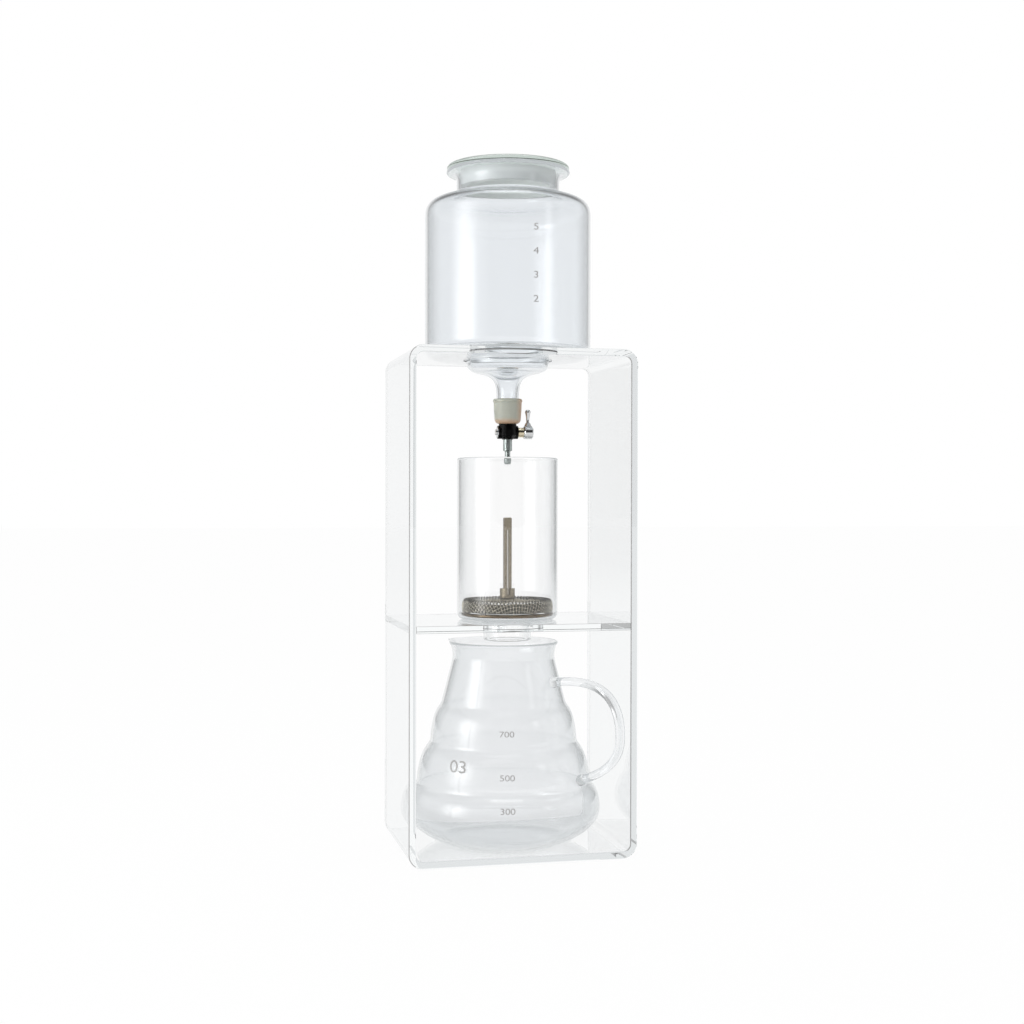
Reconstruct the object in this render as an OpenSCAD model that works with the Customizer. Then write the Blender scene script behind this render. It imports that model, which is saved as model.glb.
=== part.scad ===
// Cold drip coffee tower: a clear bent stand that carries a glass water bowl with a drip
// valve, a glass coffee chamber with a steel filter, and a glass jug below them.
// Millimetres, +Z up, origin at the centre of the stand's underside, +Y to the back.

/* [Stand] */
// Thickness of the clear sheet of the loop and its shelf
sheet_t = 5; // [4:0.5:6]
// Depth of the stand from front to back
stand_d = 110; // [96:1:124]
// Outer radius of the four bends of the loop
bend_r = 10; // [8:0.5:14]
// Room beside the jug at its widest, on each side
side_room = 6; // [5:0.5:14]
// Room between the rim of the jug and the underside of the shelf
shelf_room = 10.5; // [9:0.5:16]
// Room around the bulb in the hole of the top plate
top_hole_room = 1.5; // [1:0.1:3]
// Room around the spigot in the hole of the shelf
shelf_hole_room = 4.5; // [2:0.1:7]

/* [Water bowl] */
// Outer radius of the bowl
bowl_r = 59; // [54:0.5:64]
// Height of the bowl above the top plate
bowl_h = 130; // [115:1:150]
// Wall of the bowl
bowl_wall = 2.2; // [1.8:0.1:2.8]
// Radius of the lower outer edge of the bowl
bowl_edge_r = 6.5; // [5:0.5:8]
// Outer radius of the neck
neck_r = 36.6; // [35:0.2:38]
// Outer radius of the flared lip
lip_r = 44; // [42:0.5:46]
// Outer radius of the bulb that hangs through the top plate
bulb_r = 29.5; // [27:0.5:31]
// Height of the bulb below the top plate's upper face
bulb_h = 23; // [20:0.5:28]
// Outer radius of the outlet tube at its end
outlet_r = 7.9; // [7.2:0.1:8.4]
// Length of the outlet tube between the bulb and the bung
outlet_shown = 9; // [6:0.5:14]
// Depth of the outlet tube in the bung
outlet_in = 8; // [6:0.5:9]

/* [Lid] */
// Thickness of the lid's disc
lid_t = 3.2; // [2.6:0.1:4]
// Radius of the lid's disc
lid_r = 43.6; // [41:0.2:45]
// Depth of the ground collar under the disc
collar_h = 12; // [8:0.5:14]
// Wall of the ground collar
collar_wall = 4; // [3:0.5:6]
// Gap between the ground collar and the neck
collar_gap = 0.4; // [0.3:0.05:0.8]

/* [Valve] */
// Height of the bung
bung_h = 18; // [16:0.5:22]
// Radius of the bung at its upper end
bung_top_r = 10.5; // [10:0.1:12]
// Radius of the bung at its lower end
bung_low_r = 9.2; // [8.6:0.1:10]
// Height of the black valve body
cock_h = 11; // [10:0.5:13]
// Radius of the black valve body
cock_r = 6.9; // [6.2:0.1:7.6]
// How far the faces of the cross boss stand out of the body
boss_out = 0.3; // [0.2:0.1:0.8]
// Radius of the barb that the bung grips
barb_r = 3.4; // [3:0.1:3.8]
// Radius of the water passage
passage_r = 1.3; // [1:0.1:1.5]
// Radius of the spindle inside the body
spindle_r = 2.8; // [2.4:0.1:3]
// Radial clearance of the spindle in its bore
spindle_fit = 0.05; // [0.02:0.01:0.1]
// Length of the bright collar between body and lever hub
collar_len = 4.1; // [3:0.1:6]
// Radius of the bright collar
spindle_collar_r = 3.5; // [3.2:0.1:4]
// Radius of the lever hub
hub_r = 4.7; // [4.3:0.1:5.2]
// Length of the lever hub along the spindle
hub_len = 6.8; // [6:0.1:8]
// Reach of the lever's tip from the spindle's axis
lever_reach = 16.4; // [13:0.2:18]
// Radius of the lever's rounded tip
lever_tip_r = 2.1; // [1.8:0.1:2.5]
// Radius of the upper part of the nozzle
nozzle_r = 3.2; // [2.9:0.1:3.6]
// Length of the upper part of the nozzle
nozzle_len = 8; // [6:0.5:11]
// Radius of the nozzle's thin stretch
nozzle_neck_r = 1.95; // [1.9:0.05:2.3]
// Length of the nozzle's thin stretch
nozzle_neck_len = 4.7; // [3:0.1:6]
// Radius of the bead at the nozzle's end
nozzle_bead_r = 2.6; // [2.5:0.1:3]
// Height of the bead at the nozzle's end
nozzle_bead_h = 5; // [4:0.5:6]
// Reach of the nozzle into the mouth of the chamber
drip_reach = 4.4; // [2:0.2:8]

/* [Coffee chamber] */
// Outer radius of the chamber
chamber_r = 35.9; // [33:0.5:40]
// Height of the chamber above the shelf
chamber_h = 114.7; // [105:1:130]
// Wall of the chamber
chamber_wall = 2; // [1.6:0.1:2.4]
// Radius of the lower outer edge of the chamber
chamber_edge_r = 5; // [4.5:0.5:7]
// Outer radius of the spigot under the chamber
spigot_r = 17; // [14:0.5:19]
// Gap between the end of the spigot and the rim of the jug
spigot_gap = 0.5; // [0.4:0.1:2]

/* [Filter] */
// Half the thickness of the rolled rim
roll_r = 1.3; // [1:0.1:1.6]
// Gap between the rolled rim and the wall of the chamber
roll_gap = 0.9; // [0.7:0.1:1.5]
// Gap between the rolled rim and the floor of the chamber
roll_lift = 0.5; // [0.4:0.1:1]
// Height of the mesh cup above the rolled rim
mesh_h = 9.6; // [8:0.2:13]
// Thickness of the mesh
mesh_t = 0.7; // [0.5:0.1:1]
// Radius of the clip that holds the stem
clip_r = 5.4; // [5:0.1:6.4]
// Height of the clip above the mesh
clip_h = 7; // [5:0.5:9]
// Width of the folded stem
stem_w = 5.4; // [4.6:0.1:6]
// Depth of the folded stem
stem_d = 4; // [3:0.1:5]
// Width of the slot between the stem's two legs
stem_slot = 1.1; // [0.8:0.1:1.6]
// Height of the stem above the clip
stem_h = 50.5; // [40:0.5:54]
// Length of the closed head of the stem
stem_head = 9; // [6:0.5:12]

/* [Jug] */
// Height of the jug
jug_h = 142.5; // [130:1:160]
// Outer radius of the jug at its widest
belly_r = 69; // [60:1:74]
// Wall of the jug
jug_wall = 2; // [1.6:0.1:2.6]
// How far the jug stands to the left of the tower's axis
jug_shift = 2.7; // [0:0.1:3]
// Turn of the handle from the right side towards the front, in degrees
handle_turn = 42; // [40:1:60]
// Thickness of the handle, along its radius
handle_t = 6; // [5:0.5:7]
// Width of the handle
handle_w = 9.5; // [8:0.5:11]
// How far the spout stands out from the rim
spout_out = 8; // [5:0.5:10]
// Width of the spout
spout_w = 17; // [12:1:22]

/* [Hidden] */
$fn = 96;

// Hair gap between pieces that are pressed or set into each other
seat_gap = 0.02;
// Overrun of every cut past the faces that it cuts
over = 1;
// Pieces of each curve of an outline
curve_steps = 7;

// Height of the spindle in the valve body, as a share of the body's height
spindle_share = 0.46;

// Heights, from the table upwards
jug_rim_z = sheet_t + jug_h;
shelf_under_z = jug_rim_z + shelf_room;
shelf_z = shelf_under_z + sheet_t;
spigot_end_z = jug_rim_z + spigot_gap;
chamber_rim_z = shelf_z + chamber_h;
nozzle_end_z = chamber_rim_z - drip_reach;
nozzle_neck_z = nozzle_end_z + nozzle_bead_h;
nozzle_step_z = nozzle_neck_z + nozzle_neck_len;
cock_z = nozzle_step_z + nozzle_len;
spindle_z = cock_z + spindle_share * cock_h;
bung_z = cock_z + cock_h;
bung_top_z = bung_z + bung_h;
outlet_end_z = bung_top_z - outlet_in;
bulb_z = bung_top_z + outlet_shown;
stand_h = bulb_z + bulb_h;
lip_z = stand_h + bowl_h;

// Widths
stand_w = 2 * (belly_r + side_room + sheet_t);
inner_w = stand_w - 2 * sheet_t;
top_hole_r = bulb_r + top_hole_room;
shelf_hole_r = spigot_r + shelf_hole_room;

// Bowl: the bend over the hole, which ends inside the hole's edge
hole_bend_share = 0.85;
hole_bend = hole_bend_share * top_hole_room;
// Bowl: where the shoulder and the neck begin and end, and the points that draw their curves,
// as shares of the bowl's height, and the shoulder's inner edge between wall and neck
shoulder_low_share = 0.754;
shoulder_pull_share = 0.838;
shoulder_top_share = 0.846;
neck_pull_share = 0.852;
neck_low_share = 0.892;
neck_top_share = 0.938;
shoulder_in_share = 0.42;
shoulder_r = neck_r + shoulder_in_share * (bowl_r - neck_r);
// Bowl: the throat over the outlet tube, as shares of the tube's radius and the bulb's height,
// and the bulb, as shares of its own radius and height
throat_bend_shares = [[1.04, 0], [1.36, 0.1], [1.9, 0.3]];
bulb_shares = [[0.76, 0.36], [1, 0.4], [1, 0.66]];

// Bung: the rounding of its edges
bung_round_r = 1.6;

// Valve body: its outline from the nozzle to the bung, as shares of its radius and height
cock_shares = [[0.55, 0], [1, 0.24], [1, 0.62], [0.9, 1]];
boss_wall = 1.9;
boss_r = spindle_r + boss_wall;
barb_count = 3;
barb_room = 1;
barb_h = bung_h - outlet_in - barb_room;
barb_pitch = barb_h / barb_count;
barb_waist_share = 0.82;

// Valve: the faces of the body that the spindle runs between, and the lever
face_x = cock_r + boss_out;
run_gap = 0.1;
collar_x = face_x + run_gap;
hub_x = collar_x + collar_len;
lever_x = hub_x + hub_len / 2;
port_share = 0.8;
spindle_core_share = 0.5;
spindle_core_r = spindle_core_share * spindle_collar_r;
spindle_core_len = port_share * hub_len;
screw_core_r = 1.1;
screw_core_len = 1.8;
seal_wire_r = 0.4;
seal_in = 1.85;
seal_x = face_x - seal_in;
end_washer_r = 3.8;
washer_t = 0.6;
screw_head_t = 1.2;
screw_head_r = 2;
screw_slot_w = 0.4;
nozzle_plug_r = 2.3;
nozzle_plug_h = 1.9;
// Lever hub: its edges, the web over the spindle's core and the cone that the lever stands in
hub_edge = 0.75;
hub_web = 1;
shoulder_h = 2.1;
shoulder_wall = 0.6;
lever_foot_r = 1.2;
lever_waist_r = 0.95;
lever_foot_z = spindle_core_r + hub_web + seat_gap;
lever_shoulder_z = hub_r + shoulder_h;

// Chamber: its inside, and the filter that stands on its floor
chamber_in_r = chamber_r - chamber_wall;
floor_z = shelf_z + chamber_wall;
spigot_bend = 2.6;
roll_ring_r = chamber_in_r - roll_gap - roll_r;
roll_z = floor_z + roll_lift + roll_r;
mesh_low_z = roll_z + roll_r + seat_gap;
mesh_top_z = mesh_low_z + mesh_h;
mesh_bulge_r = chamber_in_r - roll_gap - mesh_t / 2;
mesh_foot_r = roll_ring_r - mesh_t / 2;
mesh_hole_r = norm([stem_w, stem_d]) / 2 + seat_gap;
// Filter: the mesh's bulge and its flat top, as shares of the cup's height
bulge_pull_share = 0.1;
bulge_share = 0.45;
flat_share = 0.6;
clip_z = mesh_top_z + seat_gap;
clip_floor_share = 0.35;
clip_slot_w = 2 * stem_slot;
stem_foot_z = mesh_top_z - mesh_t - washer_t - seat_gap;
stem_top_z = clip_z + clip_h + stem_h;
stem_bevel = 0.54;

// Jug: the ends of its four bands and the point that draws each curve, as shares of the
// widest radius and of the height, from the foot to the rim
foot_share = 0.609;
band_shares = [[1, 0.168], [0.896, 0.295], [0.758, 0.498], [0.645, 0.688]];
pull_shares = [[1, 0.073], [1, 0.26], [0.883, 0.442], [0.744, 0.646]];
throat_share = [0.529, 0.909];
throat_pull_share = [0.519, 0.962];
rim_share = 0.56;
// Depth of the end of the outer skin under the top of the rim, as a share of the wall
rim_end_share = 0.78;
// Handle: the points that draw its centre line, as shares of the same two sizes
handle_high_shares = [[0.52, 0.8], [0.99, 0.846], [1.34, 0.8], [1.33, 0.555]];
handle_low_shares = [[1.33, 0.555], [1.33, 0.43], [1.1, 0.365], [0.8, 0.322]];
handle_steps = 12;
handle_sides = 20;
// Spout: its droop as a share of its reach
spout_drop_share = 0.8;
spout_drop = spout_drop_share * spout_out;

// A curve through p0 and p2 that is drawn towards p1
function bow(p0, p1, p2) = [
  for (i = [0:curve_steps])
    let (t = i / curve_steps)
      (1 - t) * (1 - t) * p0 + 2 * t * (1 - t) * p1 + t * t * p2
];

// A curve from p0 to p3 that is drawn towards p1 and p2
function sweep_line(p, n) = [
  for (i = [0:n])
    let (t = i / n, s = 1 - t)
      s * s * s * p[0] + 3 * s * s * t * p[1] + 3 * s * t * t * p[2] + t * t * t * p[3]
];

// Curves and points joined into one path, with each shared end kept once
function chain(parts) = [
  for (i = [0:len(parts) - 1], j = [0:len(parts[i]) - 1])
    let (ends = j == len(parts[i]) - 1 && i < len(parts) - 1)
      if (!ends || norm(parts[i][j] - parts[i + 1][0]) > seat_gap) parts[i][j]
];

function along(a, b) = (b - a) / norm(b - a);
function left_of(u) = [-u[1], u[0]];

// The path moved to its left by t, with mitred corners
function skin(path, t) = [
  for (i = [0:len(path) - 1])
    let (
      u = i > 0 ? along(path[i - 1], path[i]) : along(path[0], path[1]),
      v = i < len(path) - 1 ? along(path[i], path[i + 1]) : u,
      m = left_of(u) + left_of(v)
    )
      path[i] + 2 * t * m / (m * m)
];

function reversed(path) = [for (i = [len(path) - 1:-1:0]) path[i]];

// A glass wall: the outer path turned about the axis, its inner face t inside
module glass_wall(path, t, low_bead = false) {
  inner = skin(path, t);
  last = len(path) - 1;
  rotate_extrude()
    union() {
      polygon(concat(path, reversed(inner)));
      translate((path[last] + inner[last]) / 2) circle(r = t / 2);
      if (low_bead) translate((path[0] + inner[0]) / 2) circle(r = t / 2);
    }
}

// A flat ring with an outer and an inner radius
module ring(outer_r, inner_r, h) {
  difference() {
    cylinder(r = outer_r, h = h);
    translate([0, 0, -over]) cylinder(r = inner_r, h = h + 2 * over);
  }
}

// A cylinder along X from x0 to x1
module bar_x(r, x0, x1) {
  translate([x0, 0, 0]) rotate([0, 90, 0]) cylinder(r = r, h = x1 - x0);
}

// A rectangle with round corners, standing on the X axis
module round_rect(w, z0, z1, r) {
  union() {
    translate([-w / 2, z0 + r]) square([w, z1 - z0 - 2 * r]);
    translate([-w / 2 + r, z0]) square([w - 2 * r, z1 - z0]);
    for (x = [-w / 2 + r, w / 2 - r], z = [z0 + r, z1 - r]) translate([x, z]) circle(r = r);
  }
}

// Stand
module stand_loop() {
  color([0.86, 0.9, 0.93, 0.4])
    difference() {
      translate([0, stand_d / 2, 0])
        rotate([90, 0, 0])
          linear_extrude(height = stand_d)
            difference() {
              round_rect(stand_w, 0, stand_h, bend_r);
              round_rect(inner_w, sheet_t, stand_h - sheet_t, bend_r - sheet_t);
            }
      translate([0, 0, stand_h - sheet_t - over]) cylinder(r = top_hole_r, h = sheet_t + 2 * over);
    }
}

module stand_shelf() {
  color([0.86, 0.9, 0.93, 0.4])
    difference() {
      translate([-inner_w / 2, -stand_d / 2, shelf_under_z]) cube([inner_w, stand_d, sheet_t]);
      translate([0, 0, shelf_under_z - over]) cylinder(r = shelf_hole_r, h = sheet_t + 2 * over);
    }
}

// Water bowl: outlet tube, throat, bulb, base ring, wall, shoulder, neck and flared lip
function throat_point(s) = [s[0] * outlet_r, bulb_z + s[1] * bulb_h];
function bulb_point(s) = [s[0] * bulb_r, bulb_z + s[1] * bulb_h];
function bowl_point(r, share) = [r, stand_h + share * bowl_h];

function bowl_path() = chain([
  [[outlet_r, outlet_end_z + bowl_wall / 2], [outlet_r, bung_top_z]],
  bow([outlet_r, bung_top_z], throat_point(throat_bend_shares[0]), throat_point(throat_bend_shares[1])),
  bow(throat_point(throat_bend_shares[1]), throat_point(throat_bend_shares[2]), bulb_point(bulb_shares[0])),
  bow(bulb_point(bulb_shares[0]), bulb_point(bulb_shares[1]), bulb_point(bulb_shares[2])),
  bow([bulb_r, stand_h - hole_bend], [bulb_r, stand_h], [bulb_r + hole_bend, stand_h]),
  bow([bowl_r - bowl_edge_r, stand_h], [bowl_r, stand_h], [bowl_r, stand_h + bowl_edge_r]),
  bow(bowl_point(bowl_r, shoulder_low_share), bowl_point(bowl_r, shoulder_pull_share),
      bowl_point(shoulder_r, shoulder_top_share)),
  bow(bowl_point(shoulder_r, shoulder_top_share), bowl_point(neck_r, neck_pull_share),
      bowl_point(neck_r, neck_low_share)),
  bow(bowl_point(neck_r, neck_top_share), [neck_r, lip_z - bowl_wall],
      [lip_r - bowl_wall / 2, lip_z - bowl_wall])
]);

module water_bowl() {
  color([0.75, 0.83, 0.88, 0.5]) glass_wall(bowl_path(), bowl_wall, low_bead = true);
}

module lid_disc() {
  color([0.35, 0.5, 0.45, 0.7])
    translate([0, 0, lip_z])
      rotate_extrude()
        union() {
          square([lid_r - lid_t / 2, lid_t]);
          translate([lid_r - lid_t / 2, lid_t / 2]) circle(r = lid_t / 2);
        }
}

module lid_ground_collar() {
  collar_r = neck_r - bowl_wall - collar_gap;
  color([0.45, 0.52, 0.48, 0.9])
    translate([0, 0, lip_z - collar_h]) ring(collar_r, collar_r - collar_wall, collar_h);
}

// Valve: a bung on the outlet tube, and a plug valve that hangs from it
module bung() {
  color([0.9, 0.86, 0.76])
    difference() {
      rotate_extrude()
        polygon(concat(
          [[0, bung_z]],
          bow([bung_low_r - bung_round_r, bung_z], [bung_low_r, bung_z],
              [bung_low_r, bung_z + bung_round_r]),
          bow([bung_top_r, bung_top_z - bung_round_r], [bung_top_r, bung_top_z],
              [bung_top_r - bung_round_r / 2, bung_top_z]),
          [[0, bung_top_z]]
        ));
      translate([0, 0, outlet_end_z - seat_gap])
        cylinder(r = outlet_r + seat_gap, h = outlet_in + over);
      translate([0, 0, bung_z - over]) cylinder(r = barb_r + seat_gap, h = bung_h);
    }
}

module valve_body() {
  color([0.06, 0.06, 0.06])
    difference() {
      union() {
        rotate_extrude()
          polygon([
            [0, cock_z],
            for (s = cock_shares) [s[0] * cock_r, cock_z + s[1] * cock_h],
            [0, bung_z]
          ]);
        translate([0, 0, spindle_z]) bar_x(boss_r, -face_x, face_x);
        translate([0, 0, bung_z - over]) cylinder(r = barb_waist_share * barb_r, h = barb_h + over);
        for (k = [0:barb_count - 1])
          translate([0, 0, bung_z + (k + 1 / 2) * barb_pitch])
            cylinder(r1 = barb_r, r2 = barb_waist_share * barb_r, h = barb_pitch / 2);
      }
      translate([0, 0, cock_z - over]) cylinder(r = passage_r, h = cock_h + barb_h + 2 * over);
      translate([0, 0, cock_z - over]) cylinder(r = nozzle_plug_r + seat_gap, h = nozzle_plug_h + over);
      translate([0, 0, spindle_z]) bar_x(spindle_r + spindle_fit, -face_x - over, face_x + over);
    }
}

module drip_nozzle() {
  round_r = nozzle_bead_r - nozzle_neck_r;
  color([0.8, 0.8, 0.82])
    difference() {
      rotate_extrude()
        polygon(concat(
          [[0, nozzle_end_z]],
          bow([nozzle_neck_r, nozzle_end_z], [nozzle_bead_r, nozzle_end_z + round_r],
              [nozzle_bead_r, nozzle_neck_z - 2 * round_r]),
          [
            [nozzle_neck_r, nozzle_neck_z], [nozzle_neck_r, nozzle_step_z - round_r],
            [nozzle_r, nozzle_step_z], [nozzle_r, cock_z - seat_gap],
            [nozzle_plug_r, cock_z - seat_gap], [nozzle_plug_r, cock_z + nozzle_plug_h - seat_gap],
            [0, cock_z + nozzle_plug_h - seat_gap]
          ]
        ));
      translate([0, 0, nozzle_end_z - over])
        cylinder(r = passage_r, h = cock_z - nozzle_end_z + nozzle_plug_h + 2 * over);
    }
}

module valve_spindle() {
  groove_r = spindle_r - 2 * seal_wire_r;
  groove_w = 2 * (seal_wire_r + seat_gap);
  color([0.82, 0.8, 0.74])
    translate([0, 0, spindle_z])
      difference() {
        union() {
          bar_x(spindle_r, -face_x, face_x + run_gap);
          bar_x(spindle_collar_r, collar_x, hub_x - seat_gap);
          bar_x(spindle_core_r, hub_x - over, hub_x + spindle_core_len);
          bar_x(screw_core_r, -face_x - screw_core_len, -face_x + over);
        }
        for (x = [-seal_x, seal_x])
          translate([x - groove_w / 2, 0, 0])
            rotate([0, 90, 0]) ring(spindle_r + over, groove_r, groove_w);
        translate([0, 0, -spindle_r - over])
          cylinder(r = port_share * passage_r, h = 2 * (spindle_r + over));
      }
}

module spindle_seals() {
  color([0.12, 0.12, 0.12])
    for (x = [-seal_x, seal_x])
      translate([x, 0, spindle_z])
        rotate([0, 90, 0])
          rotate_extrude() translate([spindle_r - seal_wire_r + seat_gap, 0]) circle(r = seal_wire_r);
}

module end_washer() {
  color([0.75, 0.75, 0.76])
    translate([-face_x - run_gap - washer_t, 0, spindle_z])
      rotate([0, 90, 0]) ring(end_washer_r, screw_core_r + seat_gap, washer_t);
}

module end_screw() {
  head_x = -face_x - run_gap - washer_t - seat_gap;
  color([0.75, 0.75, 0.76])
    translate([0, 0, spindle_z])
      difference() {
        bar_x(screw_head_r, head_x - screw_head_t, head_x);
        bar_x(screw_core_r + seat_gap, -face_x - screw_core_len - seat_gap, head_x + over);
        translate([head_x - screw_head_t - over, -screw_head_r - over, -screw_slot_w / 2])
          cube([over + screw_head_t / 3, 2 * (screw_head_r + over), screw_slot_w]);
      }
}

module lever_hub() {
  cone_r = hub_len / 2 - hub_edge / 2;
  color([0.82, 0.82, 0.84])
    difference() {
      union() {
        translate([hub_x, 0, spindle_z])
          rotate([0, 90, 0])
            rotate_extrude()
              polygon([
                [0, 0], [hub_r - hub_edge, 0], [hub_r, hub_edge], [hub_r, hub_len - hub_edge],
                [hub_r - hub_edge, hub_len], [0, hub_len]
              ]);
        translate([lever_x, 0, spindle_z])
          rotate_extrude()
            polygon([
              [0, 0], [cone_r, 0], [cone_r, hub_r - hub_edge],
              [lever_foot_r + shoulder_wall, lever_shoulder_z], [0, lever_shoulder_z]
            ]);
      }
      translate([0, 0, spindle_z])
        bar_x(spindle_core_r + seat_gap, hub_x - over, hub_x + spindle_core_len + seat_gap);
      translate([lever_x, 0, spindle_z + lever_foot_z - seat_gap])
        cylinder(r = lever_foot_r + seat_gap, h = lever_shoulder_z);
    }
}

module valve_lever() {
  tip_z = lever_reach - lever_tip_r;
  color([0.82, 0.82, 0.84])
    translate([lever_x, 0, spindle_z])
      rotate_extrude()
        polygon(concat(
          [[0, lever_foot_z], [lever_foot_r, lever_foot_z]],
          bow([lever_foot_r, lever_shoulder_z], [lever_waist_r, (lever_shoulder_z + tip_z) / 2],
              [lever_tip_r, tip_z]),
          bow([lever_tip_r, tip_z], [lever_tip_r, lever_reach], [0, lever_reach])
        ));
}

// Coffee chamber: spigot, floor, wall and rim
function chamber_path() = chain([
  [[spigot_r, spigot_end_z + chamber_wall / 2], [spigot_r, shelf_z - spigot_bend]],
  bow([spigot_r, shelf_z - spigot_bend], [spigot_r, shelf_z], [spigot_r + spigot_bend, shelf_z]),
  bow([chamber_r - chamber_edge_r, shelf_z], [chamber_r, shelf_z], [chamber_r, shelf_z + chamber_edge_r]),
  [[chamber_r, shelf_z + chamber_edge_r], [chamber_r, chamber_rim_z - chamber_wall / 2]]
]);

module coffee_chamber() {
  color([0.85, 0.9, 0.93, 0.45]) glass_wall(chamber_path(), chamber_wall, low_bead = true);
}

// Filter: an upturned mesh cup on a rolled rim, with a clip and a folded stem to lift it by
module filter_rim() {
  color([0.72, 0.62, 0.48])
    translate([0, 0, roll_z])
      rotate_extrude()
        difference() {
          translate([roll_ring_r, 0]) circle(r = roll_r);
          translate([roll_ring_r - mesh_t / 2, -roll_r - over])
            square([mesh_t, roll_r + over - mesh_t / 2]);
        }
}

function mesh_path() = chain([
  bow([mesh_foot_r, mesh_low_z], [mesh_bulge_r, mesh_low_z + bulge_pull_share * mesh_h],
      [mesh_bulge_r, mesh_low_z + bulge_share * mesh_h]),
  bow([mesh_bulge_r, mesh_low_z + bulge_share * mesh_h], [mesh_bulge_r, mesh_top_z],
      [mesh_bulge_r - flat_share * mesh_h, mesh_top_z]),
  [[mesh_bulge_r - flat_share * mesh_h, mesh_top_z], [mesh_hole_r, mesh_top_z]]
]);

module filter_mesh() {
  color([0.5, 0.48, 0.42])
    rotate_extrude() polygon(concat(mesh_path(), reversed(skin(mesh_path(), mesh_t))));
}

module filter_washer() {
  color([0.6, 0.58, 0.52])
    translate([0, 0, stem_foot_z])
      difference() {
        cylinder(r = clip_r, h = washer_t);
        stem_hole();
      }
}

// The hole that the stem passes, with the hair gap all round
module stem_hole() {
  translate([-stem_w / 2 - seat_gap, -stem_d / 2 - seat_gap, -over])
    cube([stem_w + 2 * seat_gap, stem_d + 2 * seat_gap, clip_h + 2 * over]);
}

module filter_clip() {
  color([0.55, 0.52, 0.44])
    translate([0, 0, clip_z])
      difference() {
        cylinder(r = clip_r, h = clip_h);
        stem_hole();
        translate([-clip_slot_w / 2, -clip_r - over, clip_floor_share * clip_h])
          cube([clip_slot_w, 2 * (clip_r + over), clip_h]);
      }
}

module filter_stem() {
  leg_w = (stem_w - stem_slot) / 2;
  head_z = stem_top_z - stem_head;
  color([0.6, 0.57, 0.48])
    union() {
      for (x = [-stem_w / 2, stem_slot / 2])
        translate([x, -stem_d / 2, stem_foot_z]) cube([leg_w, stem_d, head_z - stem_foot_z]);
      translate([0, stem_d / 2, 0])
        rotate([90, 0, 0])
          linear_extrude(height = stem_d)
            polygon([
              [-stem_w / 2, head_z], [stem_w / 2, head_z], [stem_w / 2, stem_top_z - stem_bevel],
              [stem_w / 2 - stem_bevel, stem_top_z], [-stem_w / 2 + stem_bevel, stem_top_z],
              [-stem_w / 2, stem_top_z - stem_bevel]
            ]);
    }
}

// Jug: its bands, its rim with the spout, and the handle
function jug_point(s) = [s[0] * belly_r, sheet_t + s[1] * jug_h];

function jug_path() = chain([
  [[0, sheet_t], [foot_share * belly_r, sheet_t]],
  bow([foot_share * belly_r, sheet_t], jug_point(pull_shares[0]), jug_point(band_shares[0])),
  for (i = [1:3]) bow(jug_point(band_shares[i - 1]), jug_point(pull_shares[i]), jug_point(band_shares[i])),
  [jug_point(band_shares[3]), jug_point(throat_share)],
  bow(jug_point(throat_share), jug_point(throat_pull_share),
      [rim_share * belly_r, jug_rim_z - rim_end_share * jug_wall])
]);

// All that lies inside the outer face of the jug
module jug_filled() {
  rotate_extrude() polygon(concat(jug_path(), [[0, jug_rim_z - rim_end_share * jug_wall]]));
}

// The lip of the spout: a drooping ring, kept where a round post stands over the rim
module spout() {
  rim_r = rim_share * belly_r - jug_wall;
  out_r = rim_share * belly_r + spout_out;
  lip_path = bow([rim_r, jug_rim_z - jug_wall / 2], [out_r, jug_rim_z - jug_wall / 2],
                 [out_r, jug_rim_z - spout_drop]);
  rotate([0, 0, 180 - handle_turn])
    intersection() {
      rotate_extrude()
        polygon(concat(lip_path, reversed(skin(lip_path, -jug_wall))));
      translate([rim_r + spout_out / 2, 0, jug_rim_z - 2 * spout_drop])
        cylinder(r = spout_w / 2, h = 3 * spout_drop);
    }
}

module jug_body() {
  color([0.85, 0.9, 0.93, 0.45])
    translate([-jug_shift, 0, 0])
      union() {
        glass_wall(jug_path(), jug_wall);
        spout();
      }
}

// The handle's centre line in the plane of its turn, and the rings of its oval section
function handle_line() = chain([
  sweep_line([for (s = handle_high_shares) jug_point(s)], handle_steps),
  sweep_line([for (s = handle_low_shares) jug_point(s)], handle_steps)
]);

function handle_ring(line, i) =
  let (
    a = line[max(i - 1, 0)],
    b = line[min(i + 1, len(line) - 1)],
    side = left_of(along(a, b))
  )
    [
      for (k = [0:handle_sides - 1])
        let (
          turn = 360 * k / handle_sides,
          across = cos(turn) * handle_t / 2,
          p = line[i] + across * side
        )
          [p[0], sin(turn) * handle_w / 2, p[1]]
    ];

module jug_handle() {
  line = handle_line();
  last = len(line) - 1;
  points = [for (i = [0:last]) each handle_ring(line, i)];
  sides = [
    for (i = [0:last - 1], k = [0:handle_sides - 1])
      let (
        a = i * handle_sides + k,
        b = i * handle_sides + (k + 1) % handle_sides
      )
        [a, b, b + handle_sides, a + handle_sides]
  ];
  first_cap = [for (k = [handle_sides - 1:-1:0]) k];
  last_cap = [for (k = [0:handle_sides - 1]) last * handle_sides + k];
  color([0.85, 0.9, 0.93, 0.45])
    translate([-jug_shift, 0, 0])
      difference() {
        rotate([0, 0, -handle_turn])
          polyhedron(points = points, faces = concat([first_cap], sides, [last_cap]));
        jug_filled();
      }
}

stand_loop();
stand_shelf();
water_bowl();
lid_disc();
lid_ground_collar();
bung();
valve_body();
drip_nozzle();
valve_spindle();
spindle_seals();
end_washer();
end_screw();
lever_hub();
valve_lever();
coffee_chamber();
filter_rim();
filter_mesh();
filter_washer();
filter_clip();
filter_stem();
jug_body();
jug_handle();
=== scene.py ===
import math

import bmesh
import bpy
from mathutils import Matrix, Vector


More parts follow.
